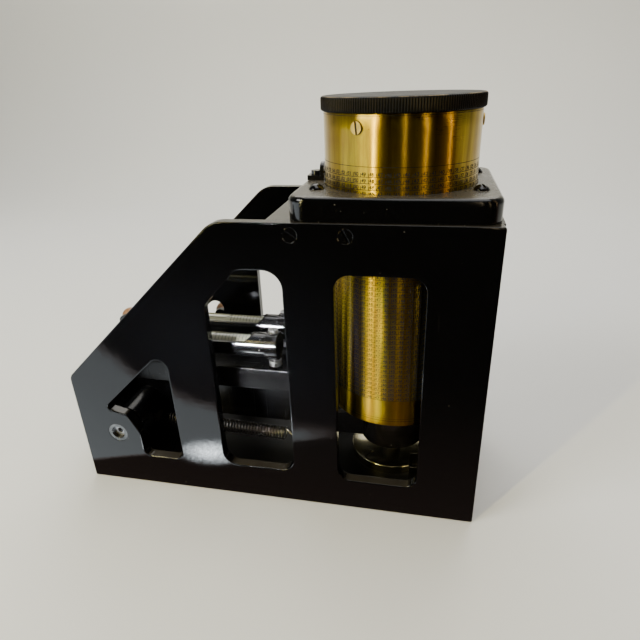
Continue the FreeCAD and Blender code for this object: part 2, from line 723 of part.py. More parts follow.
def hook(centre, r, e1, e2, angles, end, direction):
    """A loop round centre, then a run that joins the coil's end face head-on."""
    radians = [math.radians(a) for a in angles]
    points = [centre + e1 * (r * math.cos(a)) + e2 * (r * math.sin(a)) for a in radians]
    points += [end - direction * 2.6, end]
    path = Part.BSplineCurve()
    path.interpolate(points)
    return sweep(path.toShape(), points[0], path.tangent(path.FirstParameter)[0])


def return_spring():
    start, stop = V(PIN_X, PIN_Y, PIN_Z), V(POST_X, POST_Y, POST_Z)
    along = stop - start
    length = along.Length
    along.normalize()
    side = along.cross(Z)
    side.normalize()
    up = side.cross(along)
    up.normalize()
    coil_len = int((length - HOOKS_L) / SPRING_PITCH) * SPRING_PITCH
    coil_start = start + along * ((length - coil_len) / 2.0 + 1.0)

    # the coils, built upright and then laid along the spring's line
    slope = V(0, 2 * math.pi * SPRING_R, SPRING_PITCH)
    slope.normalize()
    helix = Part.makeHelix(SPRING_PITCH, coil_len, SPRING_R)
    coil = sweep(helix.Edges, V(SPRING_R, 0, 0), slope)
    coil.Placement = FreeCAD.Placement(FreeCAD.Matrix(
        up.x, side.x, along.x, coil_start.x,
        up.y, side.y, along.y, coil_start.y,
        up.z, side.z, along.z, coil_start.z,
        0, 0, 0, 1,
    ))

    wire_dir = side * slope.y + along * slope.z
    coil_end0 = coil_start + up * SPRING_R
    coil_end1 = coil_end0 + along * coil_len
    # upright loop round the pin, flat loop round the post
    pin_e1 = V(along.x, 0, along.z)
    pin_e1.normalize()
    pin_e2 = V(-pin_e1.z, 0, pin_e1.x)
    post_e1 = V(-along.x, -along.y, 0)
    post_e1.normalize()
    post_e2 = V(-post_e1.y, post_e1.x, 0)
    pin_angles = [-35 - step for step in HOOK_STEPS]
    post_angles = [35 + step for step in HOOK_STEPS]
    pin_hook = hook(start, 2.45, pin_e1, pin_e2, pin_angles, coil_end0, wire_dir)
    post_hook = hook(stop, 3.15, post_e1, post_e2, post_angles, coil_end1, wire_dir * -1.0)
    return [coil, pin_hook, post_hook]


save("spring_pin", spring_pin())
save_group("return_spring", return_spring())

# ---------------------------------------------------------------- setting lever
LEVER_R = 51.0           # reach, pivot to knob
LEVER_ANGLES = (146.0, 48.0)
KNOB_PEG_R, KNOB_PEG_L = 1.8, 6.0
# radius, height of the knob's curved side
KNOB_CURVE = [(4.8, 1.2), (6.6, 4.2), (6.6, 7.4), (4.6, 10.4), (0.6, 11.8)]
PIVOT = V(PIVOT_X, 0, PIVOT_Z)


def lever_direction(angle):
    a = math.radians(angle)
    return V(math.cos(a), 0, math.sin(a))


def knob_peg(end, y0):
    return cyl_y(end.x, end.z, y0, LEVER_Y1 + KNOB_PEG_L, KNOB_PEG_R)


def setting_lever():
    lever = on_pivot(LEVER_Y0, LEVER_Y1, 8.5)
    for angle in LEVER_ANGLES:
        along = lever_direction(angle)
        across = V(-along.z, 0, along.x)
        end = PIVOT + along * LEVER_R
        corners = [
            PIVOT + across * 4.6, end + across * 3.0, end - across * 3.0, PIVOT - across * 4.6
        ]
        lever = lever.fuse(prism([(c.x, c.z, 0) for c in corners], LEVER_Y0, LEVER_Y1))
        lever = lever.fuse(cyl_y(end.x, end.z, LEVER_Y0, LEVER_Y1, 4.6))
        lever = lever.fuse(knob_peg(end, LEVER_Y1))
    return lever.removeSplitter().cut(on_pivot(LEVER_Y0 - 1, LEVER_Y1 + 1, SHAFT_END_R))


def lever_knob(angle):
    """Turned hardwood knob."""
    end = PIVOT + lever_direction(angle) * LEVER_R
    curve = [V(r, 0, z) for r, z in KNOB_CURVE]
    bulge = Part.BSplineCurve()
    bulge.interpolate(curve)
    bottom, rim, top = V(0, 0, 0), V(4.2, 0, 0), V(0, 0, curve[-1].z)
    profile = Part.Wire([
        Part.makeLine(bottom, rim),
        Part.makeLine(rim, curve[0]),
        bulge.toShape(),
        Part.makeLine(curve[-1], top),
        Part.makeLine(top, bottom),
    ])
    knob = Part.Face(profile).revolve(V(0, 0, 0), Z, 360)
    knob.rotate(V(0, 0, 0), X, -90)
    knob.translate(V(end.x, LEVER_Y1, end.z))
    return knob.cut(knob_peg(end, LEVER_Y1 - 1))


def lever_nut():
    nut = on_pivot(LEVER_Y1, LEVER_Y1 + 3.4, 5.4)
    return nut.cut(on_pivot(LEVER_Y1 - 1, LEVER_Y1 + 9, SHAFT_END_R))


save("setting_lever", setting_lever())
save_group("lever_knobs", [lever_knob(angle) for angle in LEVER_ANGLES])
save("lever_nut", lever_nut())
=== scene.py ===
"""A levelled arm instrument read by a tall brass drum, on a black enamelled frame.

The row frame is in metres: +X to the right, -Y to the front, +Z up. The drum stands upright at
the right, with a helical scale of minutes and a knurled cap. Two spirit levels lie along X on
the arm. The CAD pieces get their materials here, and some are replaced by detailed meshes.
"""

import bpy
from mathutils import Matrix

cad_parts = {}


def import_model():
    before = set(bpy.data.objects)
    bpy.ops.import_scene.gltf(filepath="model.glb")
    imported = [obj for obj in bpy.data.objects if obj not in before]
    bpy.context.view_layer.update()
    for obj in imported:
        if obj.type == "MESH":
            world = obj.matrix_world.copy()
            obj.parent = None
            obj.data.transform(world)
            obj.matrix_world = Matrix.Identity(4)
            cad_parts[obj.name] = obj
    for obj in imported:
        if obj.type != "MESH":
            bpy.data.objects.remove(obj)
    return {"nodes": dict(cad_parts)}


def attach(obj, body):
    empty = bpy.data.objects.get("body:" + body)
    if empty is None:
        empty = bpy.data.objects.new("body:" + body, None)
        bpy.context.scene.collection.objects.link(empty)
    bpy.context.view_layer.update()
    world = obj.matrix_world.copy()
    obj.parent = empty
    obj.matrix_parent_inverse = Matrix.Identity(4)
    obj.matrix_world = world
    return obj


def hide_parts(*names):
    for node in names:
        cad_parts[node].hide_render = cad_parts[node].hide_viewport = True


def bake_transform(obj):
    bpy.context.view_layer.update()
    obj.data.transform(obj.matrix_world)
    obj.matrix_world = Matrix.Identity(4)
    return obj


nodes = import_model()["nodes"]

import math
from functools import reduce

import bpy
import numpy as np
from mathutils import Matrix, Vector


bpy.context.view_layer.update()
scene = bpy.context.scene

# ------------------------------------------------------------------ driving dimensions
ORIGIN_X, ORIGIN_Y = 0.1143, 0.0445     # row origin, from the frame's front left lower corner
AXIS_X, AXIS_Y = 0.1814 - ORIGIN_X, 0.0     # drum axis
DRUM_OUTER, DRUM_INNER = 0.0369, 0.0349     # barrel radii
DRUM_BOTTOM, DRUM_TOP = 0.0531, 0.2077
CAP_RADIUS, CAP_TOP = 0.0382, 0.2141
LEAD = 0.0027646                        # rise per turn
INDEX_Z = 0.1787
LEVELS_Y = {"front": 0.0255 - ORIGIN_Y, "rear": 0.0500 - ORIGIN_Y}
LEVEL_Z = 0.0872
VIAL_RADIUS = 0.0054
VIAL_LEFT, VIAL_RIGHT = 0.040 - ORIGIN_X, 0.108 - ORIGIN_X
VIAL_MIDDLE = 0.5 * (VIAL_LEFT + VIAL_RIGHT)


def station(x, y, z):
    """Millimetres from the frame's front left lower corner, to the row frame."""
    return Vector((x / 1000.0 - ORIGIN_X, y / 1000.0 - ORIGIN_Y, z / 1000.0))


def drum_point(radius, angle, z):
    """A point round the drum axis."""
    return (AXIS_X + radius * math.cos(angle), AXIS_Y + radius * math.sin(angle), z)


# ------------------------------------------------------------------ mesh helpers
def new_mesh(name, verts, faces, material, body=None, slot=None, smooth=True):
    mesh = bpy.data.meshes.new(name)
    mesh.from_pydata([tuple(v) for v in verts], [], [tuple(f) for f in faces])
    mesh.validate(clean_customdata=False)
    mesh.update()
    if smooth:
        mesh.shade_smooth()
    piece = bpy.data.objects.new(name, mesh)
    scene.collection.objects.link(piece)
    mesh.materials.append(material)
    if body is not None:
        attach(piece, body)
    return piece


def ring_faces(rings, segments, closed=False):
    """Quads between successive rings of vertices; closed joins the last ring to the first."""
    faces = []
    for i in range(rings if closed else rings - 1):
        low, high = i * segments, (i + 1) % rings * segments
        for k in range(segments):
            after = (k + 1) % segments
            faces.append((low + k, low + after, high + after, high + k))
    return faces


def strip_faces(steps, first=0):
    """Quads along a ribbon whose vertices come in pairs."""
    return [(b, b + 1, b + 3, b + 2) for b in range(first, first + 2 * steps, 2)]


def flipped(faces):
    return [(a, d, c, b) for a, b, c, d in faces]


def lathe(profile, segments):
    """A closed profile of (radius, height) pairs turned round the drum axis."""
    angles = np.linspace(0, 2 * math.pi, segments, endpoint=False)
    verts = [drum_point(radius, angle, z) for radius, z in profile for angle in angles]
    return verts, ring_faces(len(profile), segments, closed=True)


def round_wire(points, radius, segments=8):
    """A capped round wire along points, by parallel transport."""
    last = len(points) - 1
    tangents = [(points[min(i + 1, last)] - points[max(i - 1, 0)]).normalized()
                for i in range(last + 1)]
    reference = Vector((0, 0, 1)) if abs(tangents[0].z) < 0.9 else Vector((1, 0, 0))
    normal = (reference - tangents[0] * reference.dot(tangents[0])).normalized()
    verts = []
    for point, tangent in zip(points, tangents):
        normal = (normal - tangent * normal.dot(tangent)).normalized()
        across = tangent.cross(normal)
        for k in range(segments):
            angle = 2 * math.pi * k / segments
            verts.append(point + (normal * math.cos(angle) + across * math.sin(angle)) * radius)
    faces = ring_faces(last + 1, segments)
    faces.append(tuple(reversed(range(segments))))
    faces.append(tuple(last * segments + k for k in range(segments)))
    return verts, faces


# ------------------------------------------------------------------ node helpers
def shade(colour, factor):
    return tuple(c * factor for c in colour)


class NodeTree:
    """Short hand for building the nodes of a material or a world."""

    def __init__(self, owner):
        owner.use_nodes = True
        self.tree = owner.node_tree

    def feed(self, socket, value):
        """Links an input to a socket, or sets it to a plain value."""
        if isinstance(value, bpy.types.NodeSocket):
            self.tree.links.new(value, socket)
        else:
            socket.default_value = value

    def add(self, kind, feeds=None, **settings):
        node = self.tree.nodes.new(kind)
        for name, value in settings.items():
            setattr(node, name, value)
        for key, value in (feeds or {}).items():
            self.feed(node.inputs[key], value)
        return node

    def coord(self, scale=(1, 1, 1)):
        """Object coordinates, scaled."""
        source = self.add("ShaderNodeTexCoord").outputs["Object"]
        return self.add("ShaderNodeMapping", {"Scale": scale, "Vector": source}).outputs["Vector"]

    def xyz(self, vector):
        return tuple(self.add("ShaderNodeSeparateXYZ", {0: vector}).outputs)

    def combine(self, *parts):
        return self.add("ShaderNodeCombineXYZ", dict(enumerate(parts))).outputs[0]

    def geometry(self, output):
        return self.add("ShaderNodeNewGeometry").outputs[output]

    def ray(self, kind):
        return self.add("ShaderNodeLightPath").outputs[kind]

    def noise(self, place, scale, detail=2.0, rough=0.5, distort=0.0):
        return self.add("ShaderNodeTexNoise", {
            "Scale": scale, "Detail": detail, "Roughness": rough, "Distortion": distort,
            "Vector": place}).outputs["Fac"]

    def ramp(self, value, stops):
        """A colour ramp from (position, rgb) stops."""
        node = self.add("ShaderNodeValToRGB", {"Fac": value})
        elements = node.color_ramp.elements
        while len(elements) < len(stops):
            elements.new(0.5)
        for element, (position, colour) in zip(elements, stops):
            element.position = position
            element.color = (*colour, 1)
        return node.outputs["Color"]

    def levels(self, value, stops):
        """A grey ramp from (position, level) stops."""
        return self.ramp(value, [(position, (level,) * 3) for position, level in stops])

    def fade(self, value, low, high):
        """0 at low, rising to 1 at high."""
        return self.levels(value, [(low, 0.0), (high, 1.0)])

    def mask(self, value, low, high):
        """The same rise, with a third stop at the foot of the ramp."""
        return self.levels(value, [(0.0, 0.0), (low, 0.0), (high, 1.0)])

    def calc(self, operation, *values, clamp=False):
        return self.add("ShaderNodeMath", dict(enumerate(values)),
                        operation=operation, use_clamp=clamp).outputs[0]

    def times(self, *values):
        return reduce(lambda a, b: self.calc("MULTIPLY", a, b), values)

    def plus(self, *values):
        return reduce(lambda a, b: self.calc("ADD", a, b), values)

    def minus(self, a, b):
        return self.calc("SUBTRACT", a, b)

    def larger(self, a, b):
        return self.calc("MAXIMUM", a, b)

    def mix(self, amount, first, second):
        """Colour from first (amount 0) to second (amount 1)."""
        feeds = {0: amount}
        for key, colour in ((6, first), (7, second)):
            feeds[key] = (*colour, 1) if isinstance(colour, tuple) else colour
        return self.add("ShaderNodeMix", feeds, data_type="RGBA").outputs[2]

    def tint(self, colour, where, amount, towards):
        """Moves colour towards another by amount, where the mask is 1."""
        return self.mix(self.times(where, amount), colour, towards)

    def bump(self, height, strength, distance, normal=None):
        feeds = {"Strength": strength, "Distance": distance, "Height": height}
        if normal is not None:
            feeds["Normal"] = normal
        return self.add("ShaderNodeBump", feeds).outputs["Normal"]

    def bevel(self, radius, samples):
        return self.add("ShaderNodeBevel", {"Radius": radius}, samples=samples).outputs["Normal"]

    def edge(self, radius, samples):
        """0 on flats, more on sharp edges: how far the bevelled normal leans from the true."""
        lean = self.add("ShaderNodeVectorMath", {
            0: self.bevel(radius, samples), 1: self.geometry("Normal")},
            operation="DOT_PRODUCT")
        return self.minus(1.0, lean.outputs["Value"])


class Surface(NodeTree):
    """A new material with its Principled shader."""

    def __init__(self, name):
        self.material = bpy.data.materials.new(name)
        super().__init__(self.material)
        self.principled = self.tree.nodes["Principled BSDF"]

    def set(self, **inputs):
        """Feeds Principled inputs, with underscores for the spaces in their names."""
        for name, value in inputs.items():
            self.feed(self.principled.inputs[name.replace("_", " ")], value)

    def about_drum(self, place):
        """x and y from the drum axis, and z."""
        x, y, z = self.xyz(place)
        return self.minus(x, AXIS_X), self.minus(y, AXIS_Y), z


# ------------------------------------------------------------------ materials
def enamel(name, base=(0.0012, 0.0013, 0.0016), rough=0.06, specular=0.30, wear=1.0,
           edge_radius=0.0006, bare=(0.20, 0.19, 0.17), settled=0.0):
    """Black stoved enamel: soft orange peel, dust, fine scratches, small chips along the edges.

    wear scales chips and pits, bare is the metal in them, settled is the dust lying on top.
    """
    mat = Surface(name)
    place = mat.coord()
    cloud = mat.noise(place, scale=9.0, detail=4.0, rough=0.6)
    fine = mat.noise(place, scale=420.0)
    peel = mat.noise(place, scale=170.0, rough=0.45)
    wavy = mat.noise(place, scale=28.0)

    # dust: round specks in some of the cells
    cells = mat.add("ShaderNodeTexVoronoi", {"Scale": 260.0, "Vector": place})
    specks = mat.levels(cells.outputs["Distance"], [(0.0, 1.0), (0.055, 1.0), (0.085, 0.0)])
    picked = mat.calc("FRACT", mat.times(cells.outputs["Color"], 1.0))
    dust = mat.times(specks, mat.mask(picked, low=0.80, high=0.84))

    # fine scratches: very stretched noise in two directions
    upright = mat.noise(mat.coord((900, 900, 26)), scale=1.0, rough=0.4, distort=0.3)
    level = mat.noise(mat.coord((34, 700, 700)), scale=1.0, rough=0.4, distort=0.4)
    scratches = mat.larger(mat.mask(upright, low=0.70, high=0.735),
                           mat.mask(level, low=0.715, high=0.75))

    flakes = mat.noise(place, scale=420.0, detail=3.0, rough=0.65)
    chips = mat.times(mat.mask(mat.edge(edge_radius, samples=5), low=0.05, high=0.12),
                      mat.mask(flakes, low=0.635, high=0.665), wear)
    pits = mat.times(mat.mask(mat.noise(place, scale=520.0, detail=1.0), low=0.80, high=0.83),
                     0.5 * wear)

    # settled dust, on faces that look up
    facing_up = mat.mask(mat.xyz(mat.geometry("Normal"))[2], low=0.80, high=0.98)
    patches = mat.levels(mat.noise(place, scale=60.0, detail=4.0, rough=0.65),
                         [(0.2, 0.55), (0.7, 1.0)])
    lying = mat.times(facing_up, patches, settled)

    colour = mat.mix(cloud, shade(base, 0.7), shade(base, 1.5))
    colour = mat.tint(colour, dust, amount=0.35, towards=(0.30, 0.29, 0.27))
    colour = mat.tint(colour, scratches, amount=0.012, towards=(0.20, 0.19, 0.18))
    colour = mat.mix(mat.larger(chips, pits), colour, bare)
    colour = mat.mix(lying, colour, (0.115, 0.100, 0.075))

    # what each flaw adds to the roughness
    roughness = mat.plus(
        rough,
        mat.times(mat.fade(cloud, low=0.35, high=0.75), 0.05),
        mat.times(lying, 0.34),
        mat.times(mat.larger(mat.times(scratches, 0.3), dust), 0.22))
    roughness = mat.calc("ADD", roughness, mat.times(chips, 0.3), clamp=True)

    # relief: weights of the textures, with chips and pits sunk
    height = mat.plus(mat.times(peel, 0.7), mat.times(fine, 0.12), mat.times(wavy, 2.4))
    height = mat.minus(height, mat.times(mat.larger(chips, pits), 1.2))
    height = mat.plus(height, mat.times(dust, 0.7))
    mat.set(Base_Color=colour, Roughness=roughness, Metallic=mat.times(chips, 0.8),
            Specular_IOR_Level=specular,
            Normal=mat.bump(height, strength=0.16, distance=0.0004,
                            normal=mat.bevel(edge_radius, samples=6)))
    return mat.material


def drum_brass():
    """Lathe-turned lacquered brass: stretched highlights, warm blotches, tiny nicks."""
    mat = Surface("lacquered_brass_drum")
    place = mat.coord()
    x, y, z = mat.about_drum(place)
    angle = mat.calc("ARCTAN2", y, x)
    # turning rings are very fine in height, streaks run mostly up and down
    rings = mat.noise(mat.combine(mat.times(angle, 0.6), mat.times(z, 3200.0)),
                      scale=1.0, rough=0.6)
    streaks = mat.noise(mat.combine(mat.times(angle, 9.0), mat.times(z, 14.0)),
                        scale=1.6, detail=4.0, rough=0.6, distort=0.6)
    blotches = mat.noise(place, scale=26.0, detail=5.0, rough=0.62, distort=0.4)
    mottle = mat.noise(place, scale=95.0, detail=4.0, rough=0.6)
    nicks = mat.mask(mat.noise(place, scale=620.0, detail=1.0), low=0.74, high=0.79)

    colour = mat.mix(mat.fade(streaks, low=0.32, high=0.72),
                     (0.58, 0.40, 0.012), (0.33, 0.205, 0.006))
    stain = 0.5
    colour = mat.tint(colour, mat.fade(blotches, low=0.48, high=0.74), amount=stain,
                      towards=(0.38, 0.15, 0.012))
    colour = mat.tint(colour, mat.fade(mottle, low=0.56, high=0.75), amount=0.35 * stain,
                      towards=(0.34, 0.26, 0.03))
    colour = mat.tint(colour, nicks, amount=0.55, towards=(0.07, 0.045, 0.015))

    # base roughness, then what blotches and rings add
    roughness = mat.plus(0.255, mat.times(mat.fade(blotches, low=0.3, high=0.8), 0.05),
                         mat.times(rings, 0.03))
    # relief weights, nicks sunk
    height = mat.minus(mat.plus(mat.times(rings, 1.0), mat.times(mottle, 0.8)),
                       mat.times(nicks, 1.2))
    tangent = mat.add("ShaderNodeTangent", direction_type="RADIAL", axis="Z")
    mat.set(Base_Color=colour, Metallic=1.0, Roughness=roughness,
            Anisotropic=1.0, Tangent=tangent.outputs[0], Anisotropic_Rotation=0.25,
            Normal=mat.bump(height, strength=0.10, distance=0.0002,
                            normal=mat.bevel(0.00035, samples=4)),
            Coat_Weight=0.25, Coat_Roughness=0.12)
    return mat.material


def metal(name, light, dark, rough, stain, stain_amount=0.4, bump=0.12, scale=60.0):
    """Bare metal, clouded from light to dark, stained in patches and brighter on its edges."""
    mat = Surface(name)
    place = mat.coord()
    edge_radius = 0.0003
    fine = mat.noise(place, scale=900.0, detail=3.0, rough=0.6)
    cloud = mat.noise(place, scale=scale, detail=4.0, rough=0.6, distort=0.3)
    patches = mat.noise(place, scale=scale * 2.3, detail=4.0, rough=0.65)
    colour = mat.mix(mat.fade(cloud, low=0.3, high=0.75), light, dark)
    colour = mat.tint(colour, mat.fade(patches, low=0.52, high=0.72), amount=stain_amount,
                      towards=stain)
    rubbed = mat.fade(mat.edge(edge_radius, samples=4), low=0.02, high=0.15)
    colour = mat.tint(colour, rubbed, amount=0.5, towards=shade(light, 1.25))
    roughness = mat.calc("ADD", mat.plus(rough, mat.times(cloud, 0.14)),
                         mat.times(fine, 0.08), clamp=True)
    mat.set(Base_Color=colour, Metallic=1.0, Roughness=roughness,
            Normal=mat.bump(mat.plus(fine, mat.times(cloud, 0.8)), strength=bump,
                            distance=0.0002, normal=mat.bevel(edge_radius, samples=4)))
    return mat.material


def wax(name, colour, rough):
    """Black filling of engraved lines: matt, slightly uneven."""
    mat = Surface(name)
    place = mat.coord()
    cloud = mat.noise(place, scale=500.0, detail=3.0, rough=0.6)
    paler = tuple(c * 2.6 + 0.01 for c in colour)
    mat.set(Base_Color=mat.mix(mat.fade(cloud, low=0.3, high=0.8), colour, paler),
            Roughness=mat.plus(rough, mat.times(cloud, 0.3)),
            Normal=mat.bump(mat.noise(place, scale=1500.0), strength=0.2, distance=0.0001),
            Specular_IOR_Level=0.3)
    return mat.material


def hardwood():
    """Turned hardwood with the grain along Y and dark pores."""
    mat = Surface("turned_hardwood")
    grain = mat.noise(mat.coord((1.0, 0.35, 1.0)), scale=150.0, detail=4.0, rough=0.6,
                      distort=1.2)
    pores = mat.levels(mat.noise(mat.coord((900, 160, 900)), scale=1.0),
                       [(0.0, 1.0), (0.36, 1.0), (0.44, 0.0)])
    colour = mat.ramp(grain, [(0.25, (0.17, 0.075, 0.028)), (0.5, (0.30, 0.155, 0.065)),
                              (0.75, (0.42, 0.26, 0.13))])
    mat.set(Base_Color=mat.tint(colour, pores, amount=0.6, towards=(0.07, 0.03, 0.012)),
            Roughness=mat.plus(0.32, mat.times(pores, 0.25)),
            Normal=mat.bump(mat.minus(grain, pores), strength=0.25, distance=0.0002),
            Coat_Weight=0.3, Coat_Roughness=0.2)
    return mat.material


def vial_glass():
    """Ground glass vial over a pale backing, with liquid inside."""
    mat = Surface("vial_glass")
    cloud = mat.noise(mat.coord(), scale=60.0, detail=3.0, rough=0.6)
    mat.set(Base_Color=mat.mix(mat.fade(cloud, low=0.3, high=0.8),
                               (0.20, 0.20, 0.145), (0.13, 0.13, 0.09)),
            Roughness=mat.plus(0.16, mat.times(cloud, 0.1)),
            Coat_Weight=1.0, Coat_Roughness=0.03,
            Subsurface_Weight=0.25, Subsurface_Radius=(0.002, 0.002, 0.0016),
            Normal=mat.bump(cloud, strength=0.05, distance=0.0003))
    return mat.material


def vial_bubble():
    """The paler, smoother glass over the bubble."""
    mat = Surface("vial_bubble")
    cloud = mat.noise(mat.coord(), scale=90.0)
    mat.set(Roughness=0.02, Coat_Weight=1.0,
            Base_Color=mat.mix(cloud, (0.30, 0.30, 0.22), (0.22, 0.22, 0.16)),
            Normal=mat.bump(cloud, strength=0.04, distance=0.0002))
    return mat.material


def knurled_black():
    """Blackened brass, worn bright on the knurl crests and round the top rim."""
    mat = Surface("knurled_black_brass")
    place = mat.coord()
    x, y, z = mat.about_drum(place)
    radius = mat.calc("SQRT", mat.plus(mat.times(x, x), mat.times(y, y)))

    # depths below the outer radius and the top face where the wear begins
    side_depth, top_depth = 0.00045, 0.0004
    crest = mat.mask(mat.calc("DIVIDE", mat.minus(radius, CAP_RADIUS - side_depth), side_depth),
                     low=0.80, high=1.0)
    side_noise = mat.noise(place, scale=70.0, detail=4.0, rough=0.6)
    side_wear = mat.times(crest, mat.fade(side_noise, low=0.38, high=0.66))
    top = mat.fade(mat.calc("DIVIDE", mat.minus(z, CAP_TOP - top_depth), top_depth),
                   low=0.0, high=0.8)
    rim = mat.levels(mat.calc("DIVIDE", radius, CAP_RADIUS),
                     [(0.0, 0.0), (0.955, 0.0), (0.975, 1.0), (1.0, 1.0)])
    top_noise = mat.noise(place, scale=110.0, detail=4.0, rough=0.65)
    top_wear = mat.times(top, rim, mat.fade(top_noise, low=0.42, high=0.62))
    wear = mat.larger(mat.times(side_wear, 0.10), mat.times(top_wear, 0.4))

    brass = mat.mix(mat.noise(place, scale=130.0, detail=3.0, rough=0.6),
                    (0.55, 0.40, 0.15), (0.30, 0.20, 0.07))
    black = mat.mix(mat.noise(place, scale=40.0, detail=3.0, rough=0.6),
                    (0.0015, 0.0015, 0.0015), (0.005, 0.0045, 0.004))
    grit = mat.noise(place, scale=300.0, detail=3.0, rough=0.6)
    rings = mat.noise(mat.combine(mat.times(radius, 5200.0)), scale=1.0)
    mat.set(Base_Color=mat.mix(wear, black, brass), Metallic=wear,
            Roughness=mat.plus(0.34, mat.times(grit, 0.2)), Specular_IOR_Level=0.10,
            Normal=mat.bump(mat.plus(rings, mat.noise(place, scale=700.0)),
                            strength=0.12, distance=0.0002))
    return mat.material


ENAMEL = enamel("black_enamel", settled=0.30)
ENAMEL_HOUSING = enamel("black_enamel_housing", rough=0.09, specular=0.42, edge_radius=0.0016,
                        settled=0.60)
SCREW = enamel("black_screws", rough=0.10, specular=0.45, wear=1.6, bare=(0.35, 0.33, 0.28),
               settled=0.1)
INSIDE = enamel("dull_black_inside", base=(0.0022, 0.0020, 0.0016), rough=0.50, specular=0.14,
                wear=0.3, edge_radius=0.0005)
FITTING = enamel("black_fittings", base=(0.004, 0.004, 0.0045), rough=0.16, specular=0.5,
                 wear=0.6, edge_radius=0.0003)
ARM = enamel("black_arm", base=(0.0030, 0.0030, 0.0034), rough=0.24, specular=0.22, wear=0.8)
SLEEVE = enamel("black_sleeve", base=(0.006, 0.005, 0.0045), rough=0.14, specular=0.5,
                wear=0.5, edge_radius=0.0004)
DRUM = drum_brass()
BRASS = metal("brass_small", light=(0.80, 0.56, 0.14), dark=(0.50, 0.32, 0.06), rough=0.22,
              stain=(0.15, 0.09, 0.03))
NICKEL = metal("nickel_aged", light=(0.50, 0.46, 0.32), dark=(0.36, 0.33, 0.22), rough=0.09,
               stain=(0.30, 0.26, 0.16), stain_amount=0.3, bump=0.05, scale=25.0)
STEEL = metal("steel_dull", light=(0.40, 0.40, 0.41), dark=(0.20, 0.20, 0.21), rough=0.30,
              stain=(0.10, 0.07, 0.05))
BLUED = metal("steel_blued", light=(0.16, 0.16, 0.17), dark=(0.06, 0.06, 0.065), rough=0.32,
              stain=(0.08, 0.05, 0.03))
BUSH = metal("bush_darkened", light=(0.16, 0.16, 0.155), dark=(0.04, 0.04, 0.04), rough=0.16,
             stain=(0.03, 0.03, 0.03), stain_amount=0.7)
SPRING = metal("spring_steel", light=(0.34, 0.33, 0.32), dark=(0.12, 0.12, 0.12), rough=0.28,
               stain=(0.10, 0.06, 0.03))
FILL = wax("engraving_fill", colour=(0.004, 0.003, 0.002), rough=0.6)
MARK = wax("level_marks", colour=(0.006, 0.006, 0.006), rough=0.45)
WOOD = hardwood()
VIAL = vial_glass()


def paint(material, *names):
    for name in names:
        materials = nodes[name].data.materials
        materials.clear()
        materials.append(material)


paint(INSIDE, "base_plate")
# a frame may lack some of these plates
PLATES = ("front_side_plate", "rear_side_plate", "end_plate", "top_deck", "toe_plate")
paint(ENAMEL, *(name for name in PLATES if name in nodes))
paint(ENAMEL_HOUSING, "drum_housing")
paint(ARM, "arm_casting")
paint(SCREW, "deck_screws", "housing_screws")
paint(FITTING, "index_bracket", "index_screw", "level_tubes", "level_caps", "setting_lever")
paint(SLEEVE, "thrust_sleeve")
paint(BRASS, "drum_hub", "cap_screws", "lever_nut", "drum_cap")
paint(NICKEL, "column_flange", "flange_screws", "flange_clamp", "clamp_screw")
paint(BUSH, "front_bush", "rear_bush")
paint(STEEL, "frame_dowels", "spring_post", "level_studs", "capstan_nuts", "spring_pin",
      "pivot_shaft", "lead_screw")
paint(BLUED, "cam_plates", "cam_rivets")
paint(WOOD, "lever_knobs")
paint(DRUM, "drum_tube")
paint(SPRING, "return_spring")
paint(VIAL, "level_vials")


# ------------------------------------------------------------------ drum
def drum_barrel():
    chamfer = 0.00045
    profile = [     # radius, height
        (DRUM_INNER, DRUM_BOTTOM + 0.0002),
        (DRUM_INNER + 0.0003, DRUM_BOTTOM),
        (DRUM_OUTER - chamfer, DRUM_BOTTOM),
        (DRUM_OUTER - 0.0001, DRUM_BOTTOM + 0.00012),
        (DRUM_OUTER, DRUM_BOTTOM + chamfer),
    ]
    profile += [(DRUM_OUTER, z) for z in np.arange(DRUM_BOTTOM + 0.004, DRUM_TOP - 0.003, 0.006)]
    profile += [
        (DRUM_OUTER, DRUM_TOP - 0.0003),
        (DRUM_OUTER - 0.0003, DRUM_TOP),
        (DRUM_INNER, DRUM_TOP),
    ]
    profile += [(DRUM_INNER, z) for z in np.arange(DRUM_TOP - 0.010, DRUM_BOTTOM + 0.008, -0.02)]
    barrel = new_mesh("drum_barrel", *lathe(profile, segments=288), DRUM, "drum",
                      "lacquered_brass")
    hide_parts("drum_tube")


drum_barrel()

# Each digit is one stroke through (x, y) points, on a grid 4 wide and 6 high
GLYPHS = {
    "0": [(1, 0), (3, 0), (4, 1.2), (4, 4.8), (3, 6), (1, 6), (0, 4.8), (0, 1.2), (1, 0)],
    "1": [(0.8, 4.8), (2.2, 6), (2.2, 0)],
    "2": [(0, 4.8), (1, 6), (3, 6), (4, 4.8), (3.8, 3.6), (0, 0), (4, 0)],
    "3": [(0.2, 6), (4, 6), (2, 3.6), (3.4, 3.3), (4, 2), (3.4, 0.5), (2, 0), (0, 0.8)],
    "4": [(3, 0), (3, 6), (0, 1.8), (4, 1.8)],
    "5": [(3.8, 6), (0.7, 6), (0.4, 3.4), (2.4, 3.8), (4, 2.6), (3.6, 0.7), (2, 0), (0, 0.7)],
    "6": [(3.6, 5.8), (1.6, 5.2), (0, 2.4), (0.6, 0.6), (2, 0), (3.6, 0.6), (4, 2), (3, 3.3),
          (1.2, 3.2), (0.1, 2.2)],
    "7": [(0, 6), (4, 6), (1.6, 0)],
    "8": [(2, 3.3), (0.5, 4.3), (0.8, 5.6), (2, 6), (3.2, 5.6), (3.5, 4.3), (2, 3.3),
          (0.2, 1.9), (0.5, 0.5), (2, 0), (3.5, 0.5), (3.8, 1.9), (2, 3.3)],
    "9": [(0.4, 0.2), (2.4, 0.8), (4, 3.6), (3.4, 5.4), (2, 6), (0.4, 5.4), (0, 4), (1, 2.7),
          (2.8, 2.8), (3.9, 3.8)],
}
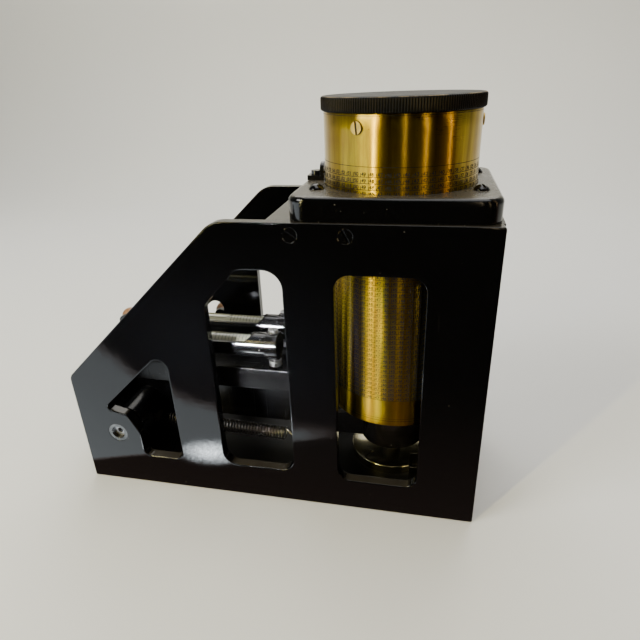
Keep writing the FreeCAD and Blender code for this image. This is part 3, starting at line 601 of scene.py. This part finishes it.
GLYPH_HEIGHT = 6.0


class Strokes:
    """Flat strokes laid on a cylinder round the drum axis."""

    def __init__(self, radius):
        self.radius = radius
        self.verts, self.faces = [], []

    def line(self, start, end, width, angle, z):
        """A bar between two (arc, height) points, measured from angle and z."""
        (s0, h0), (s1, h1) = start, end
        length = math.hypot(s1 - s0, h1 - h0)
        along_s, along_h = (s1 - s0) / length, (h1 - h0) / length
        side_s, side_h = -along_h * width / 2, along_s * width / 2
        over_s, over_h = along_s * width * 0.35, along_h * width * 0.35     # run past the ends
        first = len(self.verts)
        for s, h in ((s0 - over_s + side_s, h0 - over_h + side_h),
                     (s0 - over_s - side_s, h0 - over_h - side_h),
                     (s1 + over_s - side_s, h1 + over_h - side_h),
                     (s1 + over_s + side_s, h1 + over_h + side_h)):
            self.verts.append(drum_point(self.radius, angle + s / self.radius, z + h))
        self.faces.append(tuple(range(first, first + 4)))

    def number(self, value, size, width, angle, z, lift):
        for place, digit in enumerate(str(value)):
            points = [(place * size * 0.86 + x * size / GLYPH_HEIGHT,
                       lift + y * size / GLYPH_HEIGHT) for x, y in GLYPHS[digit]]
            for start, end in zip(points, points[1:]):
                self.line(start, end, width, angle, z)


def drum_scale():
    """A helical scale, 60 minutes to a turn, numbered down from zero."""
    lines = Strokes(DRUM_OUTER + 0.000018)
    figures = Strokes(DRUM_OUTER + 0.000020)
    zero_z = INDEX_Z + 2 * LEAD          # two turns above the index at rest
    degrees, per_turn = 42, 60
    step = 2 * math.pi / per_turn
    arc, drop = step * DRUM_OUTER, LEAD / per_turn     # of one minute
    for k in range(degrees * per_turn + 1):
        degree, minute = divmod(k, per_turn)
        angle = math.pi - step * k
        z = zero_z - LEAD * k / per_turn
        # helical base line in three chords per minute
        if degree < degrees:
            for i in range(3):
                start, end = i / 3.0, (i + 1) / 3.0
                lines.line((-start * arc, -start * drop), (-end * arc, -end * drop),
                           0.00026, angle, z)
        # minute tick, longer at every fifth, and half-minute tick
        tick_length, tick_width = (0.00185, 0.00032) if k % 5 == 0 else (0.00150, 0.00027)
        lines.line((0, 0), (0, tick_length), tick_width, angle, z)
        lines.line((-0.5 * arc, -0.5 * drop), (-0.5 * arc, 0.00070), 0.00018, angle, z)
        if minute == 0:
            figures.number(degree, size=0.00180, width=0.00036,
                           angle=angle + 0.00045 / DRUM_OUTER, z=z, lift=0.00036)
        else:
            figures.number(minute, size=0.00130, width=0.00030,
                           angle=angle + 0.00055 / DRUM_OUTER, z=z, lift=0.00058)
    # plain turned lines above and below the scale: height, width
    chords = 240
    for z, width in ((zero_z + 0.0021, 0.00024), (DRUM_TOP - 0.0009, 0.00016),
                     (DRUM_BOTTOM + 0.0030, 0.00022), (DRUM_BOTTOM + 0.0044, 0.00014)):
        for k in range(chords):
            lines.line((0, 0), (2 * math.pi * DRUM_OUTER / chords, 0), width,
                       2 * math.pi * k / chords, z)
    for name, strokes in (("drum_scale_lines", lines), ("drum_scale_figures", figures)):
        new_mesh(name, strokes.verts, strokes.faces, FILL, "drum", "lacquered_brass",
                 smooth=False)


drum_scale()


def knurled_cap():
    teeth, per_tooth = 200, 6
    segments = teeth * per_tooth
    depth = 0.00040
    angles = np.linspace(0, 2 * math.pi, segments, endpoint=False)
    wave = np.power(0.5 + 0.5 * np.cos(angles * teeth), 0.8)
    bottom, face = DRUM_TOP + 0.00001, CAP_TOP - 0.00005
    profile = (     # radius, height, share of the knurl depth
        (0.006, bottom, 0),
        (DRUM_INNER - 0.0001, bottom, 0),
        (CAP_RADIUS - 0.0009, bottom, 0),
        (CAP_RADIUS - 0.0004, DRUM_TOP + 0.0003, 0.4),
        (CAP_RADIUS, DRUM_TOP + 0.0008, 1),
        (CAP_RADIUS, DRUM_TOP + 0.0024, 1),
        (CAP_RADIUS, CAP_TOP - 0.0024, 1),
        (CAP_RADIUS, CAP_TOP - 0.0009, 1),
        (CAP_RADIUS - 0.00035, CAP_TOP - 0.0003, 0.5),
        (CAP_RADIUS - 0.0009, CAP_TOP, 0),
        (CAP_RADIUS - 0.0022, CAP_TOP, 0),
        (CAP_RADIUS - 0.0025, CAP_TOP - 0.0002, 0),
        (CAP_RADIUS - 0.0029, CAP_TOP - 0.0002, 0),
        (CAP_RADIUS - 0.0032, CAP_TOP, 0),
        (0.022, face, 0),
        (0.006, face, 0),
    )
    verts = []
    for radius, z, share in profile:
        radii = radius - depth * (1 - wave) * share
        verts += np.stack([AXIS_X + radii * np.cos(angles), AXIS_Y + radii * np.sin(angles),
                           np.full(segments, z)], 1).tolist()
    faces = ring_faces(len(profile), segments)
    centre = len(verts)
    last = centre - segments
    verts += [[AXIS_X, AXIS_Y, face], [AXIS_X, AXIS_Y, bottom]]
    faces += [(last + k, last + (k + 1) % segments, centre) for k in range(segments)]
    faces += [((k + 1) % segments, k, centre + 1) for k in range(segments)]
    cap = new_mesh("knurled_cap", verts, faces, knurled_black(), "drum", "knurled_black_brass")
    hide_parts("drum_cap")


def cap_spigot():
    """The ring that fits inside the top of the barrel."""
    outer, inner, bottom = DRUM_INNER - 0.00005, 0.024, DRUM_TOP - 0.009
    profile = [(outer, DRUM_TOP), (outer, bottom), (inner, bottom), (inner, DRUM_TOP)]
    new_mesh("cap_spigot", *lathe(profile, segments=96), BRASS, "drum", "brass", smooth=False)


def cap_screw_dirt():
    """Painted shade in the slots and round the heads of the three cap screws, drawn as flat dark
    strips.
    """
    screw_z, slot_radius = 0.2021, 0.03745      # slot_radius: from the drum axis
    half_length, half_width, slot_steps = 0.0024, 0.00036, 8
    head_radii, ring_steps = (0.00268, 0.00295), 32
    verts, faces = [], []
    for k in range(3):
        angle = math.radians(243.0 + 120.0 * k)
        outward = Vector((math.cos(angle), math.sin(angle), 0))
        across = Vector((-outward.y, outward.x, 0))
        centre = Vector((AXIS_X, AXIS_Y, screw_z)) + outward * slot_radius
        # painted shade: a flat dark strip along each slot stands for its shaded recess
        faces += flipped(strip_faces(slot_steps, len(verts)))
        for i in range(slot_steps + 1):
            height = -half_length + 2 * half_length * i / slot_steps
            width = half_width * (1.0 - 0.15 * abs(height) / half_length)
            rise = Vector((0, 0, height))
            verts += [centre + across * width + rise, centre - across * width + rise]
        # painted shade ring where the head meets the barrel
        faces += strip_faces(ring_steps, len(verts))
        for i in range(ring_steps + 1):
            turn = 2 * math.pi * i / ring_steps
            for radius in head_radii:
                verts.append(drum_point(DRUM_OUTER + 0.00004,
                                        angle + radius * math.cos(turn) / DRUM_OUTER,
                                        screw_z + radius * math.sin(turn)))
    new_mesh("cap_screw_slot_painted_shade", verts, faces, FILL, "drum", "brass", smooth=False)


knurled_cap()
cap_spigot()
cap_screw_dirt()


def lead_screw():
    """The threaded rod on the drum axis."""
    bottom, top, crest, root = 0.0152, 0.1872, 0.0050, 0.00435
    segments, rows_per_turn = 40, 8
    rows = int((top - bottom) / LEAD * rows_per_turn)
    z, angle = np.meshgrid(np.linspace(bottom, top, rows + 1),
                           np.linspace(0, 2 * math.pi, segments, endpoint=False), indexing="ij")
    phase = ((z / LEAD) - angle / (2 * math.pi)) % 1.0
    groove = np.clip((np.abs(phase - 0.5) * 2 - 0.25) / 0.5, 0, 1)
    # the thread runs out at both ends, and the tip is chamfered
    fade = np.clip((top - z) / 0.002, 0, 1) * np.clip((z - bottom) / 0.003, 0, 1)
    radius = crest - (crest - root) * groove * fade
    tip = top - 0.0008
    radius = np.where(z > tip, radius - (z - tip) * 0.8, radius)
    verts = np.stack([AXIS_X + radius * np.cos(angle), AXIS_Y + radius * np.sin(angle), z], -1)
    faces = ring_faces(rows + 1, segments)
    faces.append(tuple(rows * segments + k for k in range(segments)))
    faces.append(tuple(reversed(range(segments))))
    screw = new_mesh("lead_screw_thread", verts.reshape(-1, 3).tolist(), faces, STEEL, "frame",
                     "steel")
    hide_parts("lead_screw")


lead_screw()


# ------------------------------------------------------------------ return spring
def hook(centre, along, across, radius, start, sweep):
    """An open ring of wire from the start angle through the sweep, in degrees."""
    angles = [math.radians(start + sweep * k / 14.0) for k in range(15)]
    return [centre + along * (radius * math.cos(a)) + across * (radius * math.sin(a))
            for a in angles]


def bridge(start, end):
    """The points between two ends of wire, without the ends."""
    return [start.lerp(end, k / 5.0) for k in range(1, 5)]


def return_spring():
    """A coil from a pin on the arm to a post on the frame, straight between the two, with a hook
    at each end.
    """
    pin, post = station(29.0, 34.0, 24.2), station(125.5, 30.5, 22.8)
    coil_radius, pitch, wire_radius, per_turn = 0.0036, 0.002, 0.0005, 22
    span = post - pin
    along = span.normalized()
    side = along.cross(Vector((0, 0, 1))).normalized()
    up = side.cross(along).normalized()
    turns = int((span.length - 0.017) / pitch)
    coil_start = pin + along * ((span.length - turns * pitch) / 2 + 0.001)
    coil = []
    for i in range(turns * per_turn + 1):
        angle = 2 * math.pi * i / per_turn
        coil.append(coil_start + along * (pitch * i / per_turn)
                    + up * (coil_radius * math.cos(angle))
                    + side * (coil_radius * math.sin(angle)))
    # the hook on the pin stands upright along X, the hook on the post lies level
    pin_along = Vector((along.x, 0, along.z)).normalized()
    pin_hook = hook(pin, pin_along, Vector((-pin_along.z, 0, pin_along.x)),
                    radius=0.00245, start=-300, sweep=240)
    post_along = Vector((-along.x, -along.y, 0)).normalized()
    post_hook = hook(post, post_along, Vector((-post_along.y, post_along.x, 0)),
                     radius=0.00315, start=60, sweep=250)
    points = (pin_hook + bridge(pin_hook[-1], coil[0]) + coil
              + bridge(coil[-1], post_hook[0]) + post_hook)
    spring = new_mesh("spring_coil", *round_wire(points, wire_radius), SPRING, slot="steel")
    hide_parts("return_spring")
    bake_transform(spring)


return_spring()


# ------------------------------------------------------------------ spirit level vials
BUBBLE_HALF_LENGTH, BUBBLE_HALF_WIDTH = 0.0078, 0.0026
BUBBLE_RADIUS = VIAL_RADIUS + 0.000015      # of the surface it lies on


def vial_point(x, y, radius, angle):
    """A point round the vial axis at y, with the top of the glass at a quarter turn."""
    return (x, y + radius * math.cos(angle), LEVEL_Z + radius * math.sin(angle))


def bubble_point(along, across, y, radius):
    """A point on the bubble; along and across run from -1 to 1."""
    from_top = across * BUBBLE_HALF_WIDTH / BUBBLE_RADIUS
    return vial_point(VIAL_MIDDLE + along * BUBBLE_HALF_LENGTH, y, radius,
                      math.pi / 2 - from_top)


def vial_body(y):
    segments, columns = 56, 34
    verts = [vial_point(VIAL_LEFT + (VIAL_RIGHT - VIAL_LEFT) * i / columns, y, VIAL_RADIUS,
                        2 * math.pi * k / segments)
             for i in range(columns + 1) for k in range(segments)]
    faces = flipped(ring_faces(columns + 1, segments))
    faces.append(tuple(range(segments)))
    faces.append(tuple(reversed([columns * segments + k for k in range(segments)])))
    return verts, faces


def vial_marks(y):
    """Dark lines over the top of the glass, 2 mm apart, with a gap for the bubble."""
    steps = 14
    verts, faces = [], []
    for side in (-1, 1):
        for k in range(11):
            x = VIAL_MIDDLE + side * (0.0085 + 0.002 * k)
            degrees, half_width = (62, 0.00016) if k % 5 == 0 else (48, 0.00013)
            half = math.radians(degrees)
            faces += flipped(strip_faces(steps, len(verts)))
            for i in range(steps + 1):
                angle = math.pi / 2 - half + 2 * half * i / steps
                for offset in (-half_width, half_width):
                    verts.append(vial_point(x + offset, y, VIAL_RADIUS + 0.00003, angle))
    return verts, faces


def bubble(y):
    """A long drop just over the top of the glass."""
    rows, columns = 30, 10
    verts, faces = [], []
    for i in range(rows + 1):
        along = -1 + 2 * i / rows
        width = math.sqrt(max(0.0, 1 - abs(along) ** 2.6))
        for k in range(columns + 1):
            verts.append(bubble_point(along, (-1 + 2 * k / columns) * width, y, BUBBLE_RADIUS))
    for i in range(rows):
        for k in range(columns):
            q = i * (columns + 1) + k
            faces.append((q, q + columns + 1, q + columns + 2, q + 1))
    return verts, faces


def bubble_edge(y):
    """The dark line round the bubble."""
    steps = 72
    verts = []
    for i in range(steps + 1):
        angle = 2 * math.pi * i / steps
        cosine = math.cos(angle)
        along = math.copysign(abs(cosine) ** 0.8, cosine)
        for grow in (0.96, 1.06):
            verts.append(bubble_point(along * grow, math.sin(angle) * grow, y,
                                      BUBBLE_RADIUS + 0.00001))
    return verts, strip_faces(steps)


def vials():
    bubble_material = vial_bubble()
    for side, y in LEVELS_Y.items():
        body = new_mesh("vial_" + side, *vial_body(y), VIAL, "arm", "vial_glass")
        if side == "front":
            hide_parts("level_vials")
        new_mesh("vial_marks_" + side, *vial_marks(y), MARK, "arm", "vial_glass", smooth=False)
        new_mesh("vial_bubble_" + side, *bubble(y), bubble_material, "arm", "vial_glass")
        new_mesh("vial_bubble_edge_" + side, *bubble_edge(y), MARK, "arm", "vial_glass",
                 smooth=False)


vials()


# ------------------------------------------------------------------ floor, light, camera
def studio_paper():
    """Pale paper. In glossy reflections the front glows as a painted reflection: a dim floor with
    a bright painted sheen patch and painted glitter on it.
    """
    mat = Surface("studio_paper")
    place = mat.coord()
    x, y, _ = mat.xyz(mat.geometry("Position"))
    front = mat.levels(mat.calc("MULTIPLY_ADD", y, 2.0, 0.5),
                       [(0.0, 1.0), (0.40, 1.0), (0.72, 0.0)])

    # the painted sheen patch at the left, seen only in glossy reflections: a wavy, curved far
    # edge, a straight near edge, a soft right side
    wobble = mat.times(mat.minus(mat.noise(place, scale=22.0, detail=3.0, rough=0.6), 0.5),
                       0.016)
    curve = mat.minus(mat.calc("MULTIPLY_ADD", x, 0.05, -0.119), mat.times(x, x, 1.75))
    far = mat.minus(mat.plus(y, wobble), curve)
    near = mat.minus(mat.calc("MULTIPLY_ADD", x, -0.32, -0.0957), y)
    right = mat.calc("DIVIDE", mat.minus(0.034, x), 0.03, clamp=True)
    painted_sheen = mat.times(mat.calc("DIVIDE", far, 0.012, clamp=True),
                      mat.calc("DIVIDE", near, 0.003, clamp=True), right)

    # painted glitter, an oval of glints seen only in glossy reflections: centre and half size
    # along each axis
    square_x, square_y = (
        mat.calc("POWER", mat.calc("DIVIDE", mat.minus(axis, centre), half), 2.0)
        for axis, centre, half in ((x, -0.050, 0.026), (y, -0.077, 0.013)))
    oval = mat.calc("SUBTRACT", 1.0, mat.calc("SQRT", mat.plus(square_x, square_y)), clamp=True)
    glint = mat.levels(mat.noise(mat.coord((1.0, 1.4, 1.0)), scale=560.0, detail=4.0, rough=0.75),
                       [(0.0, 0.05), (0.42, 0.10), (0.70, 1.0)])
    painted_glitter = mat.times(mat.calc("POWER", oval, 1.3), glint)

    # painted reflection: the dim floor falls off to the front; its warm emission, the painted
    # sheen and the painted glitter add up
    floor = mat.levels(mat.times(y, -5.0), [(0.20, 1.0), (0.75, 0.25), (1.0, 0.08)])
    reflection_glow = mat.add("ShaderNodeEmission", {
        "Color": mat.mix(mat.calc("MULTIPLY_ADD", painted_glitter, 60.0, painted_sheen, clamp=True),
                         (0.9, 0.60, 0.50), (0.88, 0.96, 1.0)),
        "Strength": mat.plus(mat.times(floor, 0.30), mat.times(painted_sheen, 2.4),
                             mat.times(painted_glitter, 150.0))})
    # glossy rays at the front see this painted reflection instead of the paper
    seen = mat.add("ShaderNodeMixShader", {
        0: mat.times(mat.ray("Is Glossy Ray"), front),
        1: mat.principled.outputs[0],
        2: reflection_glow.outputs[0]})
    mat.feed(mat.tree.nodes["Material Output"].inputs["Surface"], seen.outputs[0])

    cloud = mat.noise(place, scale=1.6, detail=3.0)
    grain = mat.noise(place, scale=180.0, detail=3.0, rough=0.6)
    mat.set(Base_Color=mat.mix(cloud, (0.72, 0.725, 0.70), (0.78, 0.78, 0.755)),
            Roughness=0.9, Specular_IOR_Level=0.1,
            Normal=mat.bump(grain, strength=0.05, distance=0.0005))
    return mat.material


def floor():
    """A floor that sweeps up behind into a wall."""
    half_width, sweep_y, sweep_radius, steps = 2.8, 0.62, 0.35, 12
    profile = [(-2.6, 0.0), (sweep_y, 0.0)]     # y, z
    for i in range(1, steps + 1):
        angle = math.pi / 2 * i / steps
        profile.append((sweep_y + sweep_radius * math.sin(angle),
                        sweep_radius - sweep_radius * math.cos(angle)))
    profile.append((sweep_y + sweep_radius, 2.6))
    verts = [(x, y, z - 0.0002) for y, z in profile for x in (-half_width, half_width)]
    new_mesh("floor", verts, strip_faces(len(profile) - 1), studio_paper())


def area_light(name, place, target, size, power, colour, spread=180.0):
    """A rectangular light aimed at target; size is width and height, spread is in degrees."""
    light = bpy.data.lights.new(name, "AREA")
    light.shape = "RECTANGLE"
    light.size, light.size_y = size
    light.energy = power
    light.color = colour
    light.spread = math.radians(spread)
    lamp = bpy.data.objects.new(name, light)
    lamp.location = place
    lamp.rotation_euler = (Vector(target) - Vector(place)).to_track_quat("-Z", "Y").to_euler()
    scene.collection.objects.link(lamp)


def lights():
    drum = (AXIS_X, 0.0, 0.16)
    area_light("key_window", (-0.95, -0.75, 1.05), target=(0.0, 0.0, 0.08),
               size=(0.55, 0.55), power=15.0, colour=(1.0, 0.985, 0.95))
    # narrow upright strips draw the highlights on the drum
    area_light("strip_front_left", (AXIS_X - 0.50, -0.725, 0.42), target=drum,
               size=(0.022, 0.9), power=6.0, colour=(1.0, 0.86, 0.34))
    area_light("strip_front_right", (0.56, -0.62, 0.40), target=drum,
               size=(0.02, 0.8), power=0.55, colour=(1.0, 0.72, 0.36))
    area_light("strip_right", (0.80, -0.20, 0.40), target=drum,
               size=(0.02, 0.8), power=0.5, colour=(1.0, 0.62, 0.28))
    area_light("strip_front", (0.20, -0.85, 0.42), target=drum,
               size=(0.012, 0.8), power=0.3, colour=(1.0, 0.80, 0.50))
    area_light("levels_kick", (-0.25, -0.75, 0.31), target=(-0.012, -0.02, 0.087),
               size=(0.10, 0.04), power=0.16, colour=(0.93, 0.96, 1.0), spread=9.0)
    area_light("top_soft", (0.1, 0.15, 1.6), target=(0.0, 0.1, 0.0),
               size=(1.5, 1.0), power=16.0, colour=(1.0, 1.0, 0.99))
    area_light("back_soft", (0.0, 0.78, 0.95), target=(0.05, 0.0, 0.17),
               size=(1.2, 0.5), power=7.0, colour=(1.0, 0.985, 0.95))


def room():
    """Pale to the eye on every side; as light and in reflections it is dark at the front."""
    world = bpy.data.worlds.new("room")
    scene.world = world
    sky = NodeTree(world)
    background = sky.tree.nodes["Background"]
    _, y, _ = sky.xyz(sky.add("ShaderNodeTexCoord").outputs["Generated"])
    front_to_back = sky.ramp(sky.calc("MULTIPLY_ADD", y, 0.5, 0.5),
                             [(0.38, (0.02, 0.018, 0.016)), (0.62, (0.75, 0.76, 0.74))])
    sky.feed(background.inputs["Color"],
             sky.mix(sky.ray("Is Camera Ray"), front_to_back, (0.82, 0.83, 0.80)))
    # full strength, less 0.45 for glossy rays
    strength = background.inputs["Strength"]
    strength.default_value = 0.7
    sky.feed(strength, sky.calc("MULTIPLY_ADD", sky.ray("Is Glossy Ray"), -0.45,
                                strength.default_value))


def camera():
    lens = bpy.data.cameras.new("view")
    lens.sensor_width = 36.0
    lens.lens = 29.16
    lens.clip_start = 0.01
    view = bpy.data.objects.new("view", lens)
    place = station(197.542, -219.437, 222.112)
    pitch, yaw, roll = math.radians(25.102), math.radians(12.659), math.radians(-2.15)
    forward = Vector((-math.sin(yaw) * math.cos(pitch), math.cos(yaw) * math.cos(pitch),
                      -math.sin(pitch)))
    level = Vector((math.cos(yaw), math.sin(yaw), 0))
    upright = level.cross(forward)
    right = level * math.cos(roll) + upright * math.sin(roll)
    up = -level * math.sin(roll) + upright * math.cos(roll)
    rows = [(right[i], up[i], -forward[i], place[i]) for i in range(3)]
    view.matrix_world = Matrix((*rows, (0, 0, 0, 1)))
    scene.collection.objects.link(view)
    scene.camera = view


floor()
lights()
room()
camera()
